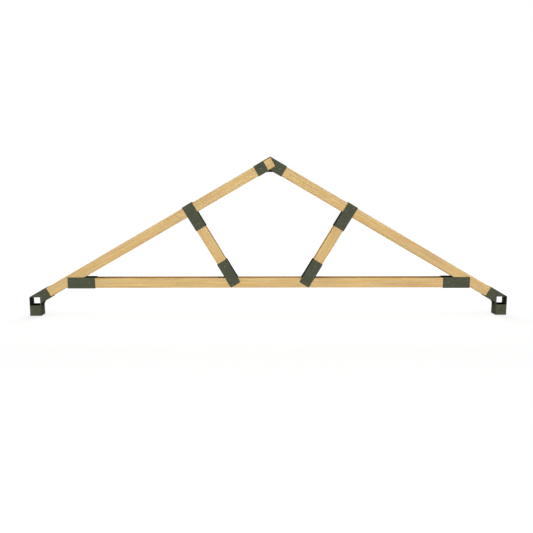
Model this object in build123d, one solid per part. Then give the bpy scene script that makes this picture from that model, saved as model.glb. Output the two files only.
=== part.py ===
from build123d import *
from math import cos, radians, sin, tan
import os

os.makedirs("parts", exist_ok=True)

# Roof truss of square timbers in steel sleeve brackets, in millimetres and degrees.
# X runs along the span, Y through the thickness, Z up. The origin lies at floor level,
# midway between the two foot brackets, in the middle of the thickness.

# Whole truss
span = 4290.0
slope = 30.0
chord_underside_height = 252.7

# Timber stock
timber = 89.0
eased_edge = 3.0

# Steel of every bracket
wall = 4.5
sleeve_clearance = 0.7
sleeve_edge_radius = 2.5
screw_hole_diameter = 7.0

# Elbow brackets, one at the peak and one at each foot
elbow_leg = 170.5
elbow_bend_radius = 6.0
rafter_hole_from_end = 44.0
post_hole_from_end = 51.0
window_from_corner = 2.4
window_length = 72.0
window_corner_radius = 2.0
gusset_leg = 36.0
gusset_thickness = 5.0

# Plate brackets, which seat the end of one timber against the side of another
plate_length = 242.0
plate_corner_radius = 4.0
sleeve_hole_from_end = 51.0
rafter_plate_overhang = 8.5
heel_plate_inside_chord_tip = 14.5
corner_hole_from_end = 20.0
corner_hole_from_side = 27.0

# Webs
web_top_from_apex = 842.5
web_lean = 1.0

# Play between timbers that meet, and how far the rafters stop short of the feet's corners
butt_gap = 0.3
rafter_foot_setback = 82.0

# One overrun serves every cut
overrun = 50.0

# Sizes that follow
sleeve = timber + 2 * (wall + sleeve_clearance)
sleeve_half = sleeve / 2
sleeve_bore = sleeve - 2 * wall
timber_inset = wall + sleeve_clearance
rafter_underside = timber_inset + timber
half_span = span / 2
apex_height = elbow_leg + half_span * tan(radians(slope))
rafter_line_length = half_span / cos(radians(slope))
peak_setback = timber_inset * tan(radians(slope))
chord_top_height = chord_underside_height + timber
chord_axis_height = chord_underside_height + timber / 2


def direction(angle):
    """Unit vector in the plane of the truss, at an angle from +X towards +Z."""
    return Vector(cos(radians(angle)), 0, sin(radians(angle)))


def truss_plane(origin, angle):
    """Plane of the truss at a point, with x along the angle and y a quarter turn on."""
    return Plane(origin=origin, x_dir=direction(angle), z_dir=(0, -1, 0))


def slab(plane, points, depth):
    """Outline in the plane of the truss, given a depth to both sides of it."""
    return plane * extrude(make_face(Polyline(*points, close=True)), amount=depth / 2, both=True)


def rectangle(x0, x1, y0, y1):
    return [(x0, y0), (x1, y0), (x1, y1), (x0, y1)]


def edges_through(solid):
    """Edges that run through the thickness of the truss."""
    return solid.edges().filter_by(Axis.Y)


def edges_along(solid, angle):
    """Straight edges that run at an angle in the plane of the truss."""
    return solid.edges().filter_by(Axis(Vector(0, 0, 0), direction(angle)))


def screw_hole(plane, x, y):
    """Round cutter through the front and back walls of a bracket."""
    return plane * Pos(x, y, 0) * Cylinder(screw_hole_diameter / 2, sleeve + overrun)


def timber_bar(plane, points, angle):
    """Square timber with sawn ends and eased long edges."""
    bar = slab(plane, points, timber)
    return fillet(edges_along(bar, angle), eased_edge)


def elbow_bracket(apex, angle_a, hole_a, angle_b, hole_b):
    """Two square sleeves mitred at an outer corner, sleeve a with a window beside it.

    Each sleeve has its screw hole at a distance from its open end.
    """
    a = direction(angle_a)
    b = direction(angle_b)
    half_angle = a.get_angle(b) / 2
    bisector = (a + b).normalized()
    inward_a = (b - a * b.dot(a)).normalized()
    inward_b = (a - b * a.dot(b)).normalized()

    def corner(inset):
        return apex + bisector * (inset / sin(radians(half_angle)))

    def flat(points, depth):
        return slab(Plane.XZ, [(p.X, p.Z) for p in points], depth)

    def bent_bar(outer, inner, length, depth):
        """Bar round the bend, between two insets from the outer line."""
        points = [
            corner(outer),
            apex + a * length + inward_a * outer,
            apex + a * length + inward_a * inner,
            corner(inner),
            apex + b * length + inward_b * inner,
            apex + b * length + inward_b * outer,
        ]
        return flat(points, depth)

    body = bent_bar(0, sleeve, elbow_leg, sleeve)
    body = fillet(edges_through(body).sort_by_distance(apex)[0], elbow_bend_radius)
    body = fillet(edges_along(body, angle_a) + edges_along(body, angle_b), sleeve_edge_radius)
    body -= bent_bar(wall, sleeve - wall, elbow_leg + overrun, sleeve_bore)

    # In each sleeve's own plane its bore lies to one side of the outer line
    plane_a = truss_plane(apex, angle_a)
    plane_b = truss_plane(apex, angle_b)
    side = 1 if direction(angle_a + 90).dot(inward_a) > 0 else -1
    window_end = window_from_corner + window_length
    outline = rectangle(window_from_corner, window_end, side * wall, side * (sleeve - wall))
    window = slab(plane_a, outline, sleeve + overrun)
    body -= fillet(edges_through(window), window_corner_radius)

    body -= screw_hole(plane_a, elbow_leg - hole_a, side * sleeve_half)
    body -= screw_hole(plane_b, elbow_leg - hole_b, -side * sleeve_half)

    inner = corner(sleeve)
    gusset = [corner(sleeve - wall / 2), inner + a * gusset_leg, inner + b * gusset_leg]
    return body + flat(gusset, gusset_thickness)


def plate_bracket(end, angle, sleeve_length, cross_angle, hole_side):
    """Sleeve round one timber's end whose face plates run on over another timber.

    The sleeve starts at end, the middle of its open mouth, and runs at angle.
    On its centreline its side walls are sleeve_length long, and there they stop
    against the other timber, which crosses at cross_angle.
    """
    plane = truss_plane(end, angle)
    outline = rectangle(0, plate_length, -sleeve_half, sleeve_half)
    body = slab(plane, outline, sleeve)
    body = fillet(edges_through(body), plate_corner_radius)
    body = fillet(edges_along(body, angle), sleeve_edge_radius)

    bore_half = sleeve_bore / 2
    past = plate_length + overrun
    body -= slab(plane, rectangle(-overrun, past, -bore_half, bore_half), sleeve_bore)

    reach = sleeve_half + overrun
    slant = reach / tan(radians(cross_angle))
    saddle = [
        (sleeve_length - slant, -reach),
        (past + slant, -reach),
        (past + slant, reach),
        (sleeve_length + slant, reach),
    ]
    body -= slab(plane, saddle, sleeve_bore)

    body -= screw_hole(plane, sleeve_hole_from_end, 0)
    hole_y = hole_side * (sleeve_half - corner_hole_from_side)
    body -= screw_hole(plane, plate_length - corner_hole_from_end, hole_y)
    return body


# The left half is drawn, and the right half mirrored from it
peak = Vector(0, 0, apex_height)
foot = Vector(-half_span, 0, elbow_leg)


def on_left_rafter(along, inward):
    """Point at a distance down the left rafter's outer line and in from it."""
    return peak - direction(slope) * along + direction(slope - 90) * inward


def rafter_underside_x(height):
    """Where the left rafter's underside lies at a height, less the play."""
    drop = (rafter_underside + butt_gap) / cos(radians(slope))
    return (height + drop - apex_height) / tan(radians(slope))


def left_rafter():
    """The rafter that runs through the peak bracket's windowed sleeve to its corner."""
    tail = rafter_foot_setback - rafter_line_length
    points = rectangle(tail, -peak_setback, -rafter_underside, -timber_inset)
    return timber_bar(truss_plane(peak, slope), points, slope)


def right_rafter():
    """The other rafter, bevelled at the top to lie against the end of the first."""

    def bevel(inward):
        reach = inward * sin(radians(2 * slope)) - peak_setback + butt_gap
        return (reach / cos(radians(2 * slope)), -inward)

    tail = rafter_line_length - rafter_foot_setback
    points = [
        bevel(timber_inset),
        (tail, -timber_inset),
        (tail, -rafter_underside),
        bevel(rafter_underside),
    ]
    return timber_bar(truss_plane(peak, -slope), points, -slope)


def bottom_chord():
    """Chord with both ends bevelled to lie under the rafters."""
    tip = rafter_underside_x(chord_underside_height)
    heel = rafter_underside_x(chord_top_height)
    points = [
        (tip, chord_underside_height),
        (-tip, chord_underside_height),
        (-heel, chord_top_height),
        (heel, chord_top_height),
    ]
    return timber_bar(Plane.XZ, points, 0)


# A web's centreline runs from web_top, under the rafter, down to the chord
web_angle = slope - 90 + web_lean
web_top = on_left_rafter(web_top_from_apex, rafter_underside + butt_gap)
web_steepness = -web_angle
web_length = (web_top.Z - chord_top_height - butt_gap) / sin(radians(web_steepness))


def web():
    """Web cut along the rafter at the top and along the chord at the foot."""
    half = timber / 2
    top_slant = half * tan(radians(web_lean))
    foot_slant = half / tan(radians(web_steepness))
    points = [
        (-top_slant, -half),
        (web_length - foot_slant, -half),
        (web_length + foot_slant, half),
        (top_slant, half),
    ]
    return timber_bar(truss_plane(web_top, web_angle), points, web_angle)


def upper_web_bracket():
    """Sleeve on the web's top, its plates over the rafter and a little past it."""
    over_rafter = timber + butt_gap + rafter_plate_overhang
    sleeve_length = plate_length - over_rafter
    end = web_top + direction(web_angle) * sleeve_length
    return plate_bracket(end, web_angle + 180, sleeve_length, 90 - web_lean, 1)


def lower_web_bracket():
    """Sleeve on the web's foot, the lowest corner of its plates level with the chord."""
    corner_rise = sleeve_half / tan(radians(web_steepness))
    over_chord = (timber + butt_gap) / sin(radians(web_steepness)) - corner_rise
    sleeve_length = plate_length - over_chord
    end = web_top + direction(web_angle) * (web_length - sleeve_length)
    return plate_bracket(end, web_angle, sleeve_length, web_steepness, -1)


def heel_bracket():
    """Sleeve on the chord's end, its plates over the rafter as far as the chord's tip."""
    outer_end = rafter_underside_x(chord_underside_height) + heel_plate_inside_chord_tip
    inner_end = outer_end + plate_length
    sleeve_length = inner_end - rafter_underside_x(chord_axis_height)
    end = Vector(inner_end, 0, chord_axis_height)
    return plate_bracket(end, 180, sleeve_length, slope, -1)


pieces = {
    "peak_bracket": elbow_bracket(peak, slope + 180, rafter_hole_from_end, -slope, rafter_hole_from_end),
    "rafter_left": left_rafter(),
    "rafter_right": right_rafter(),
    "bottom_chord": bottom_chord(),
}
left_pieces = {
    "foot_bracket": elbow_bracket(foot, -90, post_hole_from_end, slope, rafter_hole_from_end),
    "web": web(),
    "upper_web_bracket": upper_web_bracket(),
    "lower_web_bracket": lower_web_bracket(),
    "heel_bracket": heel_bracket(),
}
for name, solid in left_pieces.items():
    pieces[name + "_left"] = solid
    pieces[name + "_right"] = mirror(solid, Plane.YZ)

for name, solid in pieces.items():
    export_step(solid, f"parts/{name}.step")
    size = solid.bounding_box().size
    print(f"{name:24s} {size.X:8.1f} {size.Y:7.1f} {size.Z:8.1f} mm {solid.volume / 1000:9.1f} cm3")
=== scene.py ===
# %% [markdown]
# A roof truss in timber and coated steel
#
# This lesson dresses a finished CAD model. The model is a gable truss: two sloping rafters, a level
# chord between them and two slanted webs, all of square timber. Dark steel sleeves hold the timbers
# together, and at the feet they stand open, ready to drop over posts. The shapes are already right, so
# Blender only adds what CAD leaves out: the grain, the coat of paint, the light and the camera.

from math import cos, pi, radians, sin

import bmesh
import bpy
from mathutils import Matrix, Vector


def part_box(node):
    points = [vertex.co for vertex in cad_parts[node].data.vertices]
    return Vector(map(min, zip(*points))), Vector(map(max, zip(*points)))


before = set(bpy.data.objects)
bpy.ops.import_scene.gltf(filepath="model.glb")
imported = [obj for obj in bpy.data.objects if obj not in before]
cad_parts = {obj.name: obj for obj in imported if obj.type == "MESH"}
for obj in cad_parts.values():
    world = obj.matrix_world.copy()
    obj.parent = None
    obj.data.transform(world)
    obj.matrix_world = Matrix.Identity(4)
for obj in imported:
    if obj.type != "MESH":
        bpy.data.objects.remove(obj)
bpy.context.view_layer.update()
millimetres = 1000

# %% [markdown]
# The camera
#
# The photograph was taken from in front of the truss, a little left of its middle and lower than its
# peak, with the lens tipped down by eight degrees. A camera can be placed by eye, but then the lengths
# never quite agree. These values came from fitting a simple lens to the edges seen in the photograph,
# which gives its place, its turn and how wide it sees. Blender wants the lens in millimetres of a
# sensor 36 mm wide, so the fitted length in pixels is scaled to that.

# %% Work out how the camera looks
def looking(turn, tip, roll):
    """Rotation of a camera turned towards +X, tipped down and rolled."""
    forward = Vector((sin(turn) * cos(tip), cos(turn) * cos(tip), -sin(tip)))
    level_right = Vector((cos(turn), -sin(turn), 0))
    level_up = level_right.cross(forward)
    right = level_right * cos(roll) + level_up * sin(roll)
    up = level_up * cos(roll) - level_right * sin(roll)
    return Matrix((right, up, -forward)).transposed()


camera_turn = radians(0.993)
camera_tip = radians(7.99)
camera_roll = radians(0.089)
camera_look = looking(camera_turn, camera_tip, camera_roll)
print("the camera looks along", [round(-value, 3) for value in camera_look.col[2]])

# %% Place the camera
picture_size = 533
lens_in_pixels = 583.4
sensor_width = 36.0
camera_place = Vector((-0.1201, -5.194, 1.1668))

camera_data = bpy.data.cameras.new("camera")
camera_data.sensor_width = sensor_width
camera_data.lens = sensor_width * lens_in_pixels / picture_size
camera = bpy.data.objects.new("camera", camera_data)
camera.matrix_world = camera_look.to_4x4()
camera.location = camera_place
scene = bpy.context.scene
scene.collection.objects.link(camera)
scene.camera = camera
scene.view_settings.view_transform = "Standard"
print("lens", round(camera_data.lens, 2), "mm")

# %% [markdown]
# A shorter way to write nodes
#
# A finish in Blender is a small web of nodes. Written out in full, each one takes five lines, and the
# idea gets lost. So the first helper adds a node and fills its inputs, either with a value or with a
# link, and the others use it for sums on numbers and on points.

# %% Helpers for nodes and sums
def add(tree, kind, inputs=None, **settings):
    """Add a shader node, make its settings, and set or link its inputs."""
    made = tree.nodes.new("ShaderNode" + kind)
    for name, value in settings.items():
        setattr(made, name, value)
    for name, value in (inputs or {}).items():
        if isinstance(value, bpy.types.NodeSocket):
            tree.links.new(value, made.inputs[name])
        else:
            made.inputs[name].default_value = value
    return made


def sums(tree, operation, *values):
    """Result of one step of arithmetic on numbers."""
    return add(tree, "Math", dict(enumerate(values)), operation=operation).outputs[0]


def product(tree, first, *others):
    """Numbers multiplied together."""
    for other in others:
        first = sums(tree, "MULTIPLY", first, other)
    return first


def vectors(tree, operation, *values):
    """Result of one step of arithmetic on points or directions."""
    return add(tree, "VectorMath", dict(enumerate(values)), operation=operation).outputs["Vector"]


def measure(tree, operation, *values):
    """Length of a line, or how far two directions agree."""
    return add(tree, "VectorMath", dict(enumerate(values)), operation=operation).outputs["Value"]


def axis_of(tree, point, axis):
    """One of the three numbers of a point or a direction."""
    return add(tree, "SeparateXYZ", {0: point}).outputs[axis]


print("helpers:", [helper.__name__ for helper in (add, sums, product, vectors, measure, axis_of)])

# %% [markdown]
# Patterns
#
# Nearly every mark on wood or paint can be drawn with one thing, a soft random cloud. The size of its
# humps decides what it looks like: large ones are stains, small ones are pores. Wood is different along
# the grain and across it, so one helper draws the cloud out into streaks. A ramp then picks the part of
# the cloud that shows.

# %% Helpers for patterns
def ramp(tree, value, low, high, to_low=0.0, to_high=1.0):
    """A value carried smoothly from one range to another, and held at the ends."""
    inputs = {"Value": value, "From Min": low, "From Max": high, "To Min": to_low, "To Max": to_high}
    return add(tree, "MapRange", inputs, interpolation_type="SMOOTHSTEP").outputs["Result"]


def noise(tree, point, humps, detail=2.0, roughness=0.5):
    """Soft random cloud from 0 to 1, with so many humps to the metre."""
    inputs = {"Vector": point, "Scale": humps, "Detail": detail, "Roughness": roughness}
    return add(tree, "TexNoise", inputs).outputs["Fac"]


def drawn_noise(tree, point, humps, detail=2.0, roughness=0.5):
    """The same with two numbers of humps to the metre, along the grain and across it."""
    along, across = humps
    drawn = vectors(tree, "MULTIPLY", point, (along, across, across))
    return noise(tree, drawn, 1.0, detail, roughness)


def line_noise(tree, place, humps, detail):
    """The same on a line, as a number (Fac) and as three numbers (Color)."""
    inputs = {"W": place, "Scale": humps, "Detail": detail}
    return add(tree, "TexNoise", inputs, noise_dimensions="1D").outputs


print("helpers:", [helper.__name__ for helper in (ramp, noise, drawn_noise, line_noise)])

# %% [markdown]
# Colours
#
# A mark can do two things to a colour. It can tint it, as resin yellows a board, or it can only make it
# paler or darker. Tints are mixed in by a share, and shades are multiplied. Wood and paint both have
# several marks at once, so a table of marks holds, for each, how many humps it has to the metre along
# and across, how fine its detail is, which part of its cloud shows, and from what shade to what.

# %% Helpers for colours
def blend(tree, share, first, second, mode="MIX"):
    """Mix of two colours, or with MULTIPLY the first tinted by a share of the second."""
    return add(tree, "Mix", {0: share, 6: first, 7: second}, data_type="RGBA", blend_type=mode).outputs[2]


def shaded(tree, colour, shade):
    """A colour made paler or darker as a whole."""
    return add(tree, "VectorMath", {0: colour, "Scale": shade}, operation="SCALE").outputs["Vector"]


def draw_marks(tree, point, marks):
    """Noise and shade of each mark in a table, by the mark's name."""
    noises = {}
    shades = {}
    for name, own in marks.items():
        noises[name] = drawn_noise(tree, point, own["humps"], own["detail"], own["roughness"])
        shades[name] = ramp(tree, noises[name], *own["range"], *own["shade"])
    return noises, shades


print("helpers:", [helper.__name__ for helper in (blend, shaded, draw_marks)])

# %% [markdown]
# Growth rings
#
# The timbers are planed softwood, pale and straight in the grain, with no large knots. A tree adds one
# ring a year: a wide pale band in spring, and a thin darker one in late summer. A sawn face is a flat cut
# through those rings, so the honest way to draw it is to build the rings in space, as shells round the
# heart of the tree, and let each face cut them. A flat picture of grain would not meet at the corners,
# and it would show the same stripes on the ends. Here the heart lies outside the timber, and it
# wanders a little along the length, which gives the long slanting lines of real boards.

# %% Distance from the heart of the tree
heart_wander = 0.06
heart_humps = 0.9
middle_of_noise = (0.5, 0.5, 0.5)
across_only = (0.0, 1.0, 1.0)
wave_humps = (0.8, 16.0)
wave_height = 0.009


def distance_from_heart(tree, point, heart):
    """Distance from the tree's heart, as it wanders along the timber, with a gentle wave in it."""
    wander = line_noise(tree, axis_of(tree, point, "X"), heart_humps, detail=1.0)["Color"]
    centred = vectors(tree, "SUBTRACT", wander, middle_of_noise)
    drift = vectors(tree, "MULTIPLY", centred, (0.0, heart_wander, heart_wander))
    flat = vectors(tree, "MULTIPLY", point, across_only)
    from_heart = vectors(tree, "ADD", vectors(tree, "SUBTRACT", flat, heart), drift)
    distance = measure(tree, "LENGTH", from_heart)
    return sums(tree, "MULTIPLY_ADD", drawn_noise(tree, point, wave_humps), wave_height, distance)


print("the heart wanders by up to", heart_wander / 2 * millimetres, "mm each way")

# %% [markdown]
# Spring and summer
#
# The distance divided by the width of a ring counts the years, and what is left over after the whole
# years is the season. The wood darkens slowly towards the end of summer, and it is pale again at once
# where the next spring starts, so one slow ramp up and one steep ramp down draw each ring. A noise added
# to the count makes some years wide and others lean, and a random number for each whole year makes
# some rings darker than others.

# %% Late wood in every ring
ring_width = 0.0034
lean_humps = 60.0
lean_years = 3.0
late_starts = 0.35
late_full = 0.88
late_ends = 0.93


def growth_rings(tree, point, heart):
    """Late wood from 0 to 1, and a number from 0 to 1 for how dark that year's ring is."""
    distance = distance_from_heart(tree, point, heart)
    years = sums(tree, "DIVIDE", distance, ring_width)
    lean = line_noise(tree, distance, lean_humps, detail=2.0)["Fac"]
    years = sums(tree, "MULTIPLY_ADD", lean, lean_years, years)
    season = sums(tree, "FRACT", years)
    darkens = ramp(tree, season, late_starts, late_full)
    stays = ramp(tree, season, late_ends, 1.0, 1.0, 0.0)
    year = sums(tree, "FLOOR", years)
    dark_year = add(tree, "TexWhiteNoise", {"W": year}, noise_dimensions="1D").outputs["Value"]
    return product(tree, darkens, stays), dark_year


print("rings about", ring_width * millimetres, "mm apart")

# %% [markdown]
# Streaks in planed softwood
#
# Over the rings lie streaks: yellower and pinker bands as wide as a finger, which run for half a metre
# before they fade. They are made as tints, each with its own noise, and not as colours of their own, so
# that the rings still show through them.

# %% Rings under streaks
spring_wood = (0.672, 0.490, 0.240, 1.0)
late_wood = (0.550, 0.350, 0.138, 1.0)
faint_ring = 0.25
strong_ring = 0.85
streaks = {
    "yellow": {"humps": (1.6, 84.0), "range": (0.50, 0.60), "tint": (1.05, 1.05, 0.86, 1.0)},
    "pink": {"humps": (1.87, 68.0), "range": (0.44, 0.60), "tint": (0.99, 0.90, 0.88, 1.0)},
}


def streaked_wood(tree, point, heart):
    """Colour of the rings under their streaks, and how much late wood shows."""
    late, dark_year = growth_rings(tree, point, heart)
    late_share = product(tree, late, ramp(tree, dark_year, 0.0, 1.0, faint_ring, strong_ring))
    colour = blend(tree, late_share, spring_wood, late_wood)
    for own in streaks.values():
        share = ramp(tree, drawn_noise(tree, point, own["humps"]), *own["range"])
        colour = blend(tree, share, colour, own["tint"], "MULTIPLY")
    return colour, late_share


print("streaks:", list(streaks))

# %% [markdown]
# Fibres, resin canals, bands and clouds
#
# Finer marks only make the wood paler or darker. Fibres are the finest lines. Resin canals, cut open by
# the plane, are short dark dashes. Bands are three or four rings from a run of poor or good years, and
# clouds are the slow change of tone along any board. All four are the same noise drawn out along the
# grain by different amounts, so they fit in one small table, which is easier to tune than code.

# %% Fine marks in the wood
wood_marks = {
    "fibre": {
        "humps": (22.0, 760.0),
        "detail": 3.0,
        "roughness": 0.6,
        "range": (0.25, 0.75),
        "shade": (0.86, 1.11),
    },
    "canal": {
        "humps": (44.2, 728.0),
        "detail": 1.0,
        "roughness": 0.5,
        "range": (0.70, 0.76),
        "shade": (1.0, 0.80),
    },
    "cloud": {
        "humps": (3.0, 7.0),
        "detail": 3.0,
        "roughness": 0.5,
        "range": (0.3, 0.7),
        "shade": (0.97, 1.03),
    },
    "band": {
        "humps": (2.4, 100.0),
        "detail": 2.0,
        "roughness": 0.6,
        "range": (0.36, 0.64),
        "shade": (0.925, 1.065),
    },
}
for name, own in wood_marks.items():
    along, across = own["humps"]
    length = round(millimetres / along)
    width = round(millimetres / across, 1)
    print(name, "about", length, "mm long and", width, "mm wide")

# %% [markdown]
# Edges, upper and lower faces, and ends
#
# Handling rubs the long edges of a timber a little darker. The faces that look up or down get a deeper
# orange tint, which is painted shade: the colour such faces show when little light reaches them. Each
# front darkens towards its lower edge. The sawn ends are darker still, because their open fibres drink
# in light. Each of these is one more tint, laid where the point's place in the timber or the direction
# of the surface says so.

# %% Tints by place
chord_low, chord_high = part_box("bottom_chord")
timber_half = (chord_high.y - chord_low.y) / 2
edge_wear = 0.002
ragged_humps = (30.0, 90.0)
ragged_wear = 0.004
worn_share = 0.5
worn_wood = (0.86, 0.80, 0.72, 1.0)
low_edge_width = 0.016
low_edge_wood = (0.90, 0.84, 0.70, 1.0)
# painted shade: faces turned up or down take the deeper orange of wood in shade
upper_face_painted_shade = (1.16, 0.97, 0.76, 1.0)
end_wood = (0.72, 0.62, 0.52, 1.0)


def tinted_by_place(tree, colour, point, upper, end):
    """The wood's colour with its worn edges, low edge, painted shade on upper and lower faces, and ends."""
    off_middle = vectors(tree, "ABSOLUTE", point)
    nearness = sums(tree, "MINIMUM", axis_of(tree, off_middle, "Y"), axis_of(tree, off_middle, "Z"))
    ragged = drawn_noise(tree, point, ragged_humps, detail=3.0)
    nearness = sums(tree, "MULTIPLY_ADD", ragged, ragged_wear, nearness)
    worn = ramp(tree, nearness, timber_half - edge_wear, timber_half + edge_wear, 0.0, worn_share)
    low_edge = ramp(tree, axis_of(tree, point, "Z"), timber_half - low_edge_width, timber_half)
    for share, tint in ((worn, worn_wood), (low_edge, low_edge_wood), (upper, upper_face_painted_shade), (end, end_wood)):
        colour = blend(tree, share, colour, tint, "MULTIPLY")
    return colour


print("timbers", round(2 * timber_half * millimetres, 1), "mm thick")

# %% [markdown]
# Relief of a planed face
#
# A planed face is not flat. The late wood stands a hair proud, the canals are grooves, the planer's
# knives leave a faint ripple a few millimetres long, and there is a dent here and there. All this is
# far too fine for a mesh, so it goes into the bump, where each layer only needs a height.

# %% Roughness and relief of the wood
fibre_range = (0.2, 0.8)
rough_wood = (0.56, 0.70)
late_wood_smoother = -0.10
ends_rougher = 0.15
planer_ripple = 2300.0
dent_humps = 38.0
dent_range = (0.72, 0.80)
heights = {"fibre": 0.6, "late wood": 0.5, "planer": 0.05, "canal": 0.8, "dent": -2.0}


def wood_roughness(tree, fibre, late_share, end):
    """Roughness of a planed face: late wood is smoother, and ends are rougher."""
    rough = ramp(tree, fibre, *fibre_range, *rough_wood)
    rough = sums(tree, "MULTIPLY_ADD", late_share, late_wood_smoother, rough)
    return sums(tree, "MULTIPLY_ADD", end, ends_rougher, rough)


def wood_relief(tree, point, fibre, late_share, canal):
    """Height of the planed face, from all its layers."""
    along = sums(tree, "ABSOLUTE", axis_of(tree, point, "X"))
    layers = {
        "fibre": fibre,
        "late wood": late_share,
        "planer": sums(tree, "SINE", product(tree, along, planer_ripple)),
        "canal": canal,
        "dent": ramp(tree, noise(tree, point, dent_humps, detail=1.0), *dent_range),
    }
    relief = 0.0
    for name, layer in layers.items():
        relief = sums(tree, "MULTIPLY_ADD", layer, heights[name], relief)
    return relief


print("planer ripple", round(2 * pi / planer_ripple * millimetres, 1), "mm long")

# %% [markdown]
# One recipe for every timber
#
# The whole recipe goes into one node group, so that five timbers can share it. Each timber tells it
# where a point lies along and across the grain, where the heart of its tree was, whether the surface is
# an upper or lower face or a sawn end, and how pale the wood is, a number that also carries the painted
# shade of its corners.

# %% Softwood recipe
recipe_inputs = {"Point": "Vector", "Heart": "Vector", "Upper": "Float", "End": "Float", "Tone_and_painted_shade": "Float"}
recipe_outputs = {"Colour": "Color", "Roughness": "Float", "Relief": "Float"}


def softwood_group():
    """Node group that gives planed softwood its colour, roughness and relief."""
    group = bpy.data.node_groups.new("planed_softwood", "ShaderNodeTree")
    for direction, sockets in (("INPUT", recipe_inputs), ("OUTPUT", recipe_outputs)):
        for name, kind in sockets.items():
            group.interface.new_socket(name, in_out=direction, socket_type="NodeSocket" + kind)
    given = group.nodes.new("NodeGroupInput").outputs
    point = given["Point"]
    end = given["End"]

    colour, late_share = streaked_wood(group, point, given["Heart"])
    noises, shades = draw_marks(group, point, wood_marks)
    colour = shaded(group, colour, product(group, given["Tone_and_painted_shade"], *shades.values()))
    colour = tinted_by_place(group, colour, point, given["Upper"], end)
    rough = wood_roughness(group, noises["fibre"], late_share, end)
    relief = wood_relief(group, point, noises["fibre"], late_share, shades["canal"])

    results = group.nodes.new("NodeGroupOutput").inputs
    for name, value in (("Colour", colour), ("Roughness", rough), ("Relief", relief)):
        group.links.new(value, results[name])
    return group


softwood = softwood_group()
print("softwood recipe of", len(softwood.nodes), "nodes")

# %% [markdown]
# Five timbers, each from its own tree
#
# The recipe works in the timber's own directions, with the grain along its first axis. The rafters and
# webs lie at an angle, so each timber's material turns and moves the point first. A bar's direction
# could be typed in, but then the grain would stay behind if the truss changed. So it is read from the
# mesh: apart from the front and back, the broadest face of a bar is its long top or underside, and the
# grain runs along it, square to its normal. No two timbers come from the same tree. The place of the
# heart decides the figure: far off to one side it gives straight lines, and close under a face it gives
# arches. The tone makes one timber a shade paler than the next, as in any stack of wood.

# %% Find how each timber lies
timbers = {
    "rafter_left": {"heart": (0.0, 0.055, -0.085), "tone": 1.01},
    "rafter_right": {"heart": (0.0, 0.030, 0.105), "tone": 1.01},
    "bottom_chord": {"heart": (0.0, 0.070, -0.060), "tone": 1.02},
    "web_left": {"heart": (0.0, -0.020, 0.120), "tone": 1.01},
    "web_right": {"heart": (0.0, 0.060, 0.080), "tone": 0.99},
}
through = Vector((0, 1, 0))
hardly = 0.01


def lie_of(node):
    """Middle of a timber, the direction of its grain, and the direction up across it."""
    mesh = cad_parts[node].data
    square_to_front = [face for face in mesh.polygons if abs(face.normal.y) < hardly]
    across = max(square_to_front, key=lambda face: face.area).normal.copy()
    if across.z < 0:
        across.negate()
    grain = across.cross(through)
    points = [vertex.co for vertex in mesh.vertices]
    middle = Vector()
    for line in (grain, across):
        places = [point.dot(line) for point in points]
        middle += line * (min(places) + max(places)) / 2
    return middle, grain, across


for node in timbers:
    middle, grain, across = lie_of(node)
    print(node, "middle", middle.to_tuple(3), "grain", grain.to_tuple(3))

# %% [markdown]
# Where a point is, and which way the surface faces
#
# The recipe asks each timber for a point in its own directions, and for what kind of face it is on.
# Comparing the surface's direction with the grain finds the ends, and comparing it with the line up
# across the timber finds the upper and lower faces. In the narrow corner where the chord runs in under
# a rafter its top is deep in shade, so an occlusion node, which feels for whatever stands close by,
# paints that shade onto those faces there, as a darker tone.

# %% Answers for the recipe
upper_range = (0.5, 0.9)
end_range = (0.3, 0.6)
corner_reach = 0.35
open_air_range = (0.92, 0.45)
corner_shade = 0.75


def timber_point(tree, middle, grain):
    """The point in the timber's own directions, with the grain along X."""
    turn = Matrix((grain, through, grain.cross(through))).transposed()
    place = add(tree, "TexCoord").outputs["Object"]
    inputs = {"Vector": place, "Location": middle, "Rotation": turn.to_euler()}
    return add(tree, "Mapping", inputs, vector_type="TEXTURE").outputs["Vector"]


def facing_along(tree, line, starts, full):
    """How far the surface faces along a line, either way, from 0 to 1."""
    facing = add(tree, "NewGeometry").outputs["True Normal"]
    agrees = sums(tree, "ABSOLUTE", measure(tree, "DOT_PRODUCT", facing, line))
    return ramp(tree, agrees, starts, full)


# painted shade: up and down faces darkened where an occlusion node finds them shut in
def tone_with_painted_corner_shade(tree, tone, upper):
    """A timber's tone, with painted shade where its upper or lower face is shut in."""
    open_air = add(tree, "AmbientOcclusion", {"Distance": corner_reach}, samples=8).outputs["AO"]
    shut_in = product(tree, upper, ramp(tree, open_air, *open_air_range, 0.0, corner_shade))
    return sums(tree, "MULTIPLY_ADD", shut_in, -tone, tone)


print("corners darken from", corner_reach * millimetres, "mm away")

# %% [markdown]
# Materials that share the recipe
#
# Each timber gets a small material of its own, which answers the recipe's questions and passes its
# results on to the surface. The studio is white all round, and a planed board seen at a slant would
# mirror it as a pale haze that the photograph doesn't show, so the mirror is turned off.

# %% Wood materials
bump_strength = 0.45
bump_height = 0.0005


def new_material(name):
    """Empty finish without a mirror, the node tree that it is made in, and its surface's inputs."""
    material = bpy.data.materials.new(name)
    material.use_nodes = True
    surface = material.node_tree.nodes["Principled BSDF"].inputs
    surface["Specular IOR Level"].default_value = 0.0
    return material, material.node_tree, surface


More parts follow.
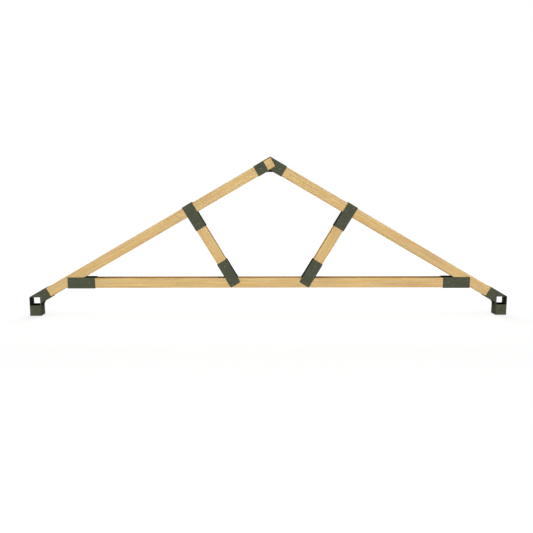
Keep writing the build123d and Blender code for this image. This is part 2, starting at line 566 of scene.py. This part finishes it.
def wood_for(node, heart, tone):
    """Planed softwood that follows one timber's grain."""
    middle, grain, across = lie_of(node)
    material, tree, surface = new_material("planed_softwood_" + node)
    upper = facing_along(tree, across, *upper_range)
    answers = {
        "Point": timber_point(tree, middle, grain),
        "Heart": heart,
        "Upper": upper,
        "End": facing_along(tree, grain, *end_range),
        "Tone_and_painted_shade": tone_with_painted_corner_shade(tree, tone, upper),
    }
    wood = add(tree, "Group", answers, node_tree=softwood).outputs
    relief = {"Strength": bump_strength, "Distance": bump_height, "Height": wood["Relief"]}
    tree.links.new(wood["Colour"], surface["Base Color"])
    tree.links.new(wood["Roughness"], surface["Roughness"])
    tree.links.new(add(tree, "Bump", relief).outputs["Normal"], surface["Normal"])
    return material


print("bump of", bump_height * millimetres, "mm at strength", bump_strength)

# %% Put the wood on the timbers
def wear_only(node, material):
    """Show a CAD node in one material."""
    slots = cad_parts[node].data.materials
    slots.clear()
    slots.append(material)


for node, own in timbers.items():
    wear_only(node, wood_for(node, own["heart"], own["tone"]))
print(len(timbers), "timbers in softwood")

# %% [markdown]
# Powder coat on the sleeves
#
# The brackets are folded and welded from plate, and coated with powder that is baked on: a dark olive
# grey, matt, with the fine pebbled skin and the faint brown and green specks that such a coat has. The
# pebbles, the mottle and the slow clouds in it are tuned in a table, as the marks in the wood were.

# %% Colour of the coat
coat_colour = (0.078, 0.085, 0.057)
brown_speck = (1.07, 1.00, 0.97, 1.0)
green_speck = (0.94, 1.01, 1.02, 1.0)
speck_humps = 210.0
speck_range = (0.35, 0.65)
coat_marks = {
    "pebbles": {
        "humps": (620.0, 620.0),
        "detail": 2.0,
        "roughness": 0.5,
        "range": (0.25, 0.75),
        "shade": (0.84, 1.16),
    },
    "mottle": {
        "humps": (150.0, 150.0),
        "detail": 3.0,
        "roughness": 0.7,
        "range": (0.30, 0.70),
        "shade": (0.82, 1.18),
    },
    "cloud": {
        "humps": (14.0, 14.0),
        "detail": 3.0,
        "roughness": 0.5,
        "range": (0.3, 0.7),
        "shade": (0.95, 1.06),
    },
}


def speckled_coat(tree, point):
    """Colour of the open coat, and the noises that it is made of."""
    noises, shades = draw_marks(tree, point, coat_marks)
    coat = shaded(tree, coat_colour, product(tree, *shades.values()))
    hue = ramp(tree, noise(tree, point, speck_humps, detail=1.0), *speck_range)
    speck = blend(tree, hue, brown_speck, green_speck)
    return blend(tree, 1.0, coat, speck, "MULTIPLY"), noises


for name, own in coat_marks.items():
    print(name, "about", round(millimetres / own["humps"][0], 1), "mm across")

# %% [markdown]
# Edges and insides
#
# The coat carries painted shade in three places: a dark line along its edges, darker tops, and near
# black on the insides of the sleeves, which is what shows through the windows. All this could be painted
# by hand, but it is simpler to let the shape decide. A bevel node knows where an edge is near, the
# surface's direction tells a top from a front, and an occlusion node knows how shut in a place is. The
# inner side of a front or back wall is found in another way: it is the only steel that faces the middle
# of the truss's thickness.

# %% Find edges, tops and insides
edge_reach = 0.004
edge_range = (0.995, 0.90)
edge_gap_humps = 55.0
edge_gap_range = (0.30, 0.62)
edge_gap_share = (0.55, 1.0)
top_range = (0.25, 0.65)
top_shade_share = 0.60
inside_reach = 0.16
open_range = (0.44, 0.60)
inner_wall = -0.01


def near_edge(tree, point, facing):
    """How near an edge is, from 0 to 1, fainter here and there."""
    rounded = add(tree, "Bevel", {"Radius": edge_reach}, samples=4).outputs["Normal"]
    agrees = measure(tree, "DOT_PRODUCT", rounded, facing)
    gaps = noise(tree, point, edge_gap_humps, detail=3.0, roughness=0.6)
    fainter = ramp(tree, gaps, *edge_gap_range, *edge_gap_share)
    return product(tree, ramp(tree, agrees, *edge_range), fainter)


def top_painted_shade(tree, facing):
    """Share of painted shade that lies on faces turned up."""
    return ramp(tree, axis_of(tree, facing, "Z"), *top_range, 0.0, top_shade_share)


def outside_share(tree, point, facing):
    """One on the outside of a bracket, and none on its inside, which gets painted shade."""
    occlusion = add(tree, "AmbientOcclusion", {"Distance": inside_reach}, samples=6, only_local=True)
    open_air = ramp(tree, occlusion.outputs["AO"], *open_range)
    outward = product(tree, axis_of(tree, point, "Y"), axis_of(tree, facing, "Y"))
    return product(tree, open_air, sums(tree, "GREATER_THAN", outward, inner_wall))


print("edges darken within", edge_reach * millimetres, "mm")

# %% [markdown]
# Put the coat together
#
# The open coat comes first, and then the painted shade of the edge, the top and the inside is laid
# over it one after another, each by its own share. The skin of a baked coat has two sizes of relief, the
# pebbles and a broader wave under them, and rubbed edges are a little smoother than the rest.

# %% Coat material
# painted shade: the dark line laid along every edge of the coat
edge_painted_shade = (0.030, 0.033, 0.023, 1.0)
# painted shade: near black where the sleeves are shut in, also laid on the tops
deep_painted_shade = (0.005, 0.005, 0.004, 1.0)
rough_coat = (0.64, 0.74)
edges_smoother = -0.08
wave_in_skin_humps = 240.0
wave_in_skin = 0.6
coat_bump_strength = 0.35
coat_bump_height = 0.0003


def powder_coat():
    """Matt olive grey powder coat, with painted shade that darkens its edges and tops and blackens the
    insides of the sleeves.
    """
    material, tree, surface = new_material("powder_coat")
    point = add(tree, "TexCoord").outputs["Object"]
    facing = add(tree, "NewGeometry").outputs["Normal"]
    coat, noises = speckled_coat(tree, point)
    edge = near_edge(tree, point, facing)
    coat = blend(tree, edge, coat, edge_painted_shade)
    # painted shade: faces turned up darkened towards near black
    coat = blend(tree, top_painted_shade(tree, facing), coat, deep_painted_shade)
    coat = blend(tree, outside_share(tree, point, facing), deep_painted_shade, coat)
    tree.links.new(coat, surface["Base Color"])

    rough = ramp(tree, noises["cloud"], *coat_marks["cloud"]["range"], *rough_coat)
    tree.links.new(sums(tree, "MULTIPLY_ADD", edge, edges_smoother, rough), surface["Roughness"])
    wave = noise(tree, point, wave_in_skin_humps, detail=1.0)
    skin = sums(tree, "MULTIPLY_ADD", wave, wave_in_skin, noises["pebbles"])
    relief = {"Strength": coat_bump_strength, "Distance": coat_bump_height, "Height": skin}
    tree.links.new(add(tree, "Bump", relief).outputs["Normal"], surface["Normal"])
    return material


coat = powder_coat()
brackets = [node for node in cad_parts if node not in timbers]
for node in brackets:
    wear_only(node, coat)
print(len(brackets), "brackets in powder coat")

# %% [markdown]
# A white studio
#
# The photograph shows the truss alone on white. A white wall lit to full brightness would throw its
# light back on the wood and wash it out. So the world has two faces: the camera, and whatever
# mirrors the room, sees plain white, while the light that falls on the truss comes from a quiet room,
# dim overhead and a little brighter towards the horizon.

# %% World
room_overhead = 0.30
room_sideways = 0.34
overhead_starts = 0.8
white = (1, 1, 1, 1)
white_strength = 1.0


def seen_directly(tree):
    """One for rays that show the background itself, and none for those that carry light."""
    ray = add(tree, "LightPath").outputs
    seen = sums(tree, "MAXIMUM", ray["Is Camera Ray"], ray["Is Glossy Ray"])
    return sums(tree, "MAXIMUM", seen, ray["Is Transmission Ray"])


def white_room():
    """World that looks white and lights softly."""
    world = bpy.data.worlds.new("white_room")
    world.use_nodes = True
    tree = world.node_tree
    tree.nodes.clear()
    height = axis_of(tree, add(tree, "TexCoord").outputs["Generated"], "Z")
    strength = ramp(tree, height, 0.0, overhead_starts, room_sideways, room_overhead)
    light = add(tree, "Background", {"Color": white, "Strength": strength}).outputs[0]
    plain = add(tree, "Background", {"Color": white, "Strength": white_strength}).outputs[0]
    both = add(tree, "MixShader", {0: seen_directly(tree), 1: light, 2: plain}).outputs[0]
    add(tree, "OutputWorld", {"Surface": both})
    return world


scene.world = white_room()
print("room gives", room_sideways, "sideways and", room_overhead, "overhead")

# %% [markdown]
# The floor
#
# The feet stand on a pale floor that keeps their soft shadow. Close to the truss it is ordinary matt
# white, helped by a little glow that the camera sees but that lights nothing, so that it comes out as
# white as the room. Further off it turns into plain white, and no line shows where the floor ends.

# %% Floor paper
floor_colour = (0.86, 0.86, 0.86, 1)
floor_glow = 0.625
plain_starts = 2.6
plain_full = 6.0


def floor_paper():
    """Matt white near the truss, and plain background white far from it."""
    material = bpy.data.materials.new("floor_paper")
    material.use_nodes = True
    tree = material.node_tree
    tree.nodes.clear()
    seen = seen_directly(tree)
    away = measure(tree, "LENGTH", add(tree, "TexCoord").outputs["Object"])
    far = product(tree, ramp(tree, away, plain_starts, plain_full), seen)
    matt = add(tree, "BsdfDiffuse", {"Color": floor_colour}).outputs[0]
    glow_strength = product(tree, seen, floor_glow)
    glow = add(tree, "Emission", {"Color": white, "Strength": glow_strength}).outputs[0]
    near = add(tree, "AddShader", {0: matt, 1: glow}).outputs[0]
    plain = add(tree, "Emission", {"Color": white, "Strength": white_strength}).outputs[0]
    whole = add(tree, "MixShader", {0: far, 1: near, 2: plain}).outputs[0]
    add(tree, "OutputMaterial", {"Surface": whole})
    return material


paper = floor_paper()
print("the floor is plain white from", plain_full, "m out")

# %% [markdown]
# A floor without an end
#
# The floor is one flat disc, so wide that its rim is out of sight from every side. The truss stands
# on it, but it isn't part of the truss.

# %% Floor
floor_reach = 30.0
floor_corners = 96

floor_shape = bmesh.new()
bmesh.ops.create_circle(floor_shape, cap_ends=True, radius=floor_reach, segments=floor_corners)
floor_mesh = bpy.data.meshes.new("floor")
floor_shape.to_mesh(floor_mesh)
floor_shape.free()
floor_mesh.materials.append(paper)
floor = bpy.data.objects.new("floor", floor_mesh)
scene.collection.objects.link(floor)
print("floor", floor_reach * 2, "m across")

# %% [markdown]
# Soft light from the front
#
# In the photograph the fronts are evenly bright from one foot to the other, the sides of the sleeves
# are a shade darker, and the tops are darker still, so the main light stands in front and low. A small
# lamp near the truss would leave its ends dim, so this softbox is far off and very wide. A second one
# behind keeps the back from going dull when the truss is seen from there.

# %% Softboxes
softboxes = {
    "front_softbox": {"place": (0.0, -12.0, 0.3), "width": 19.0, "height": 3.6, "power": 2330.0},
    "back_softbox": {"place": (0.0, 8.0, 1.4), "width": 9.0, "height": 2.4, "power": 520.0},
}
middle_of_truss = Vector((0, 0, 0.7))


def softbox(name, place, width, height, power):
    """Large soft lamp that faces the middle of the truss."""
    data = bpy.data.lights.new(name, "AREA")
    data.shape = "RECTANGLE"
    data.size = width
    data.size_y = height
    data.energy = power
    lamp = bpy.data.objects.new(name, data)
    lamp.location = place
    lamp.rotation_mode = "QUATERNION"
    lamp.rotation_quaternion = (middle_of_truss - Vector(place)).to_track_quat("-Z", "Y")
    lamp.visible_camera = False
    scene.collection.objects.link(lamp)


for name, own in softboxes.items():
    softbox(name, **own)
    print(name, own["power"], "W")
